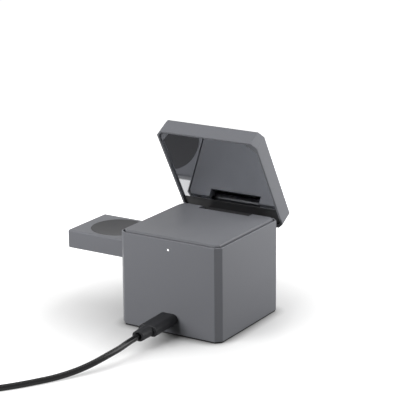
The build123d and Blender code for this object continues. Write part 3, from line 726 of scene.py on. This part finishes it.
class CHARGER_OT_set_stage(bpy.types.Operator):
    """Pale floor, soft lamps and the camera"""

    bl_idname = "charger.set_stage"
    bl_label = "Set stage"

    def execute(self, context):
        stage = context.scene.charger_stage
        context.scene.view_settings.view_transform = "Standard"
        self.floor(context, stage)
        self.world(context, stage.fill)
        square = (stage.softbox, stage.softbox)
        self.lamp(context, "left_softbox", stage.left_place, square, stage.left_power)
        self.lamp(context, "right_softbox", stage.right_place, square, stage.right_power)
        self.lamp(context, "front_softbox", stage.front_place, square, stage.front_power)
        strip = (stage.strip_width, stage.strip_length)
        self.lamp(context, "strip_light", stage.strip_place, strip, stage.strip_power)
        self.camera(context, stage)
        return {"FINISHED"}

    def floor(self, context, stage):
        """White floor that keeps the object's shadow, with a painted contact shadow near what stands on it;
        further off it is plain white.
        """
        mesh = bpy.data.meshes.new("floor")
        signs = ((-1, -1), (1, -1), (1, 1), (-1, 1))
        mesh.from_pydata([(x * FLOOR_REACH, y * FLOOR_REACH, 0) for x, y in signs], [], [(0, 1, 2, 3)])
        plate = bpy.data.objects.new("floor", mesh)
        context.scene.collection.objects.link(plate)
        material, tree, shader = new_material("floor_white")
        set_plain(shader, Base_Color=grey(FLOOR_BOUNCE), Roughness=1.0, Specular_IOR_Level=0.0)
        lit = tree.nodes.new("ShaderNodeBsdfDiffuse")
        # Painted contact shadow: an Ambient Occlusion node darkens the floor's colour near what stands on
        # it
        contact_shade = tree.nodes.new("ShaderNodeAmbientOcclusion")
        contact_shade.inputs["Color"].default_value = grey(stage.floor_tone)
        contact_shade.inputs["Distance"].default_value = stage.contact_shade_reach
        tree.links.new(contact_shade.outputs["Color"], lit.inputs["Color"])
        far = vector_node(tree, "LENGTH", own_place(tree))
        fade = tree.nodes.new("ShaderNodeMapRange")
        fade.inputs["From Min"].default_value = stage.white_from
        fade.inputs["From Max"].default_value = stage.white_at
        tree.links.new(far.outputs["Value"], fade.inputs["Value"])
        white = tree.nodes.new("ShaderNodeEmission")
        tree.links.new(fade.outputs[0], white.inputs["Strength"])
        both = tree.nodes.new("ShaderNodeAddShader")
        tree.links.new(lit.outputs[0], both.inputs[0])
        tree.links.new(white.outputs[0], both.inputs[1])
        mix = tree.nodes.new("ShaderNodeMixShader")
        tree.links.new(seen_ray(tree), mix.inputs["Fac"])
        tree.links.new(shader.outputs[0], mix.inputs[1])
        tree.links.new(both.outputs[0], mix.inputs[2])
        tree.links.new(mix.outputs[0], tree.nodes["Material Output"].inputs["Surface"])
        mesh.materials.append(material)

    def world(self, context, fill):
        """Even fill light, with a white background for the camera, gloss and glass."""
        world = bpy.data.worlds.new("studio")
        world.use_nodes = True
        context.scene.world = world
        tree = world.node_tree
        soft = tree.nodes["Background"]
        soft.inputs["Color"].default_value = WHITE
        soft.inputs["Strength"].default_value = fill
        white = tree.nodes.new("ShaderNodeBackground")
        white.inputs["Color"].default_value = WHITE
        mix = tree.nodes.new("ShaderNodeMixShader")
        tree.links.new(seen_ray(tree), mix.inputs["Fac"])
        tree.links.new(soft.outputs[0], mix.inputs[1])
        tree.links.new(white.outputs[0], mix.inputs[2])
        tree.links.new(mix.outputs[0], tree.nodes["World Output"].inputs["Surface"])

    def lamp(self, context, name, place, size, power):
        """Flat lamp of a given width and length, aimed at the middle of the body."""
        light = bpy.data.lights.new(name, "AREA")
        light.shape = "RECTANGLE"
        light.size, light.size_y = size
        light.energy = power
        lamp = bpy.data.objects.new(name, light)
        context.scene.collection.objects.link(lamp)
        lamp.location = place
        lamp.visible_camera = False
        towards = Vector(LAMP_AIM) - lamp.location
        lamp.rotation_euler = towards.to_track_quat("-Z", "Y").to_euler()

    def camera(self, context, stage):
        """Camera at the photograph's angle."""
        data = bpy.data.cameras.new("camera")
        data.sensor_width = FILM_WIDTH
        data.lens = stage.lens
        data.clip_start = NEAREST
        camera = bpy.data.objects.new("camera", data)
        context.scene.collection.objects.link(camera)
        a, e, r = stage.azimuth, stage.elevation, stage.roll
        back = Vector((sin(a) * cos(e), -cos(a) * cos(e), sin(e)))
        level = Vector((cos(a), sin(a), 0.0))
        rise = back.cross(level)
        right = level * cos(r) + rise * sin(r)
        up = rise * cos(r) - level * sin(r)
        turn = Matrix((right, up, back)).transposed().to_4x4()
        camera.matrix_world = Matrix.Translation(stage.eye) @ turn
        context.scene.camera = camera


STEPS = (
    CHARGER_OT_dress_housing,
    CHARGER_OT_dress_lid,
    CHARGER_OT_dress_slab,
    CHARGER_OT_dress_hinge,
    CHARGER_OT_dress_inside,
    CHARGER_OT_lay_lead,
    CHARGER_OT_set_stage,
)


class CHARGER_PT_panel(bpy.types.Panel):
    """Sidebar panel with the charger's steps"""

    bl_idname = "CHARGER_PT_panel"
    bl_label = "Charger"
    bl_space_type = "VIEW_3D"
    bl_region_type = "UI"
    bl_category = "Charger"

    def draw(self, context):
        for step in STEPS:
            self.layout.operator(step.bl_idname)


CLASSES = (ChargerColours, ChargerLead, ChargerStage, *STEPS, CHARGER_PT_panel)
SETTINGS = {
    "charger_colours": ChargerColours,
    "charger_lead": ChargerLead,
    "charger_stage": ChargerStage,
}


def register():
    """Adds the classes and puts their settings on the scene."""
    for cls in CLASSES:
        bpy.utils.register_class(cls)
    for name, cls in SETTINGS.items():
        setattr(bpy.types.Scene, name, PointerProperty(type=cls))


def unregister():
    """Takes away what register added."""
    for name in SETTINGS:
        delattr(bpy.types.Scene, name)
    for cls in reversed(CLASSES):
        bpy.utils.unregister_class(cls)


def main():
    """Runs every step in order."""
    register()
    for step in STEPS:
        group, name = step.bl_idname.split(".")
        getattr(getattr(bpy.ops, group), name)()


if __name__ == "__main__":
    main()
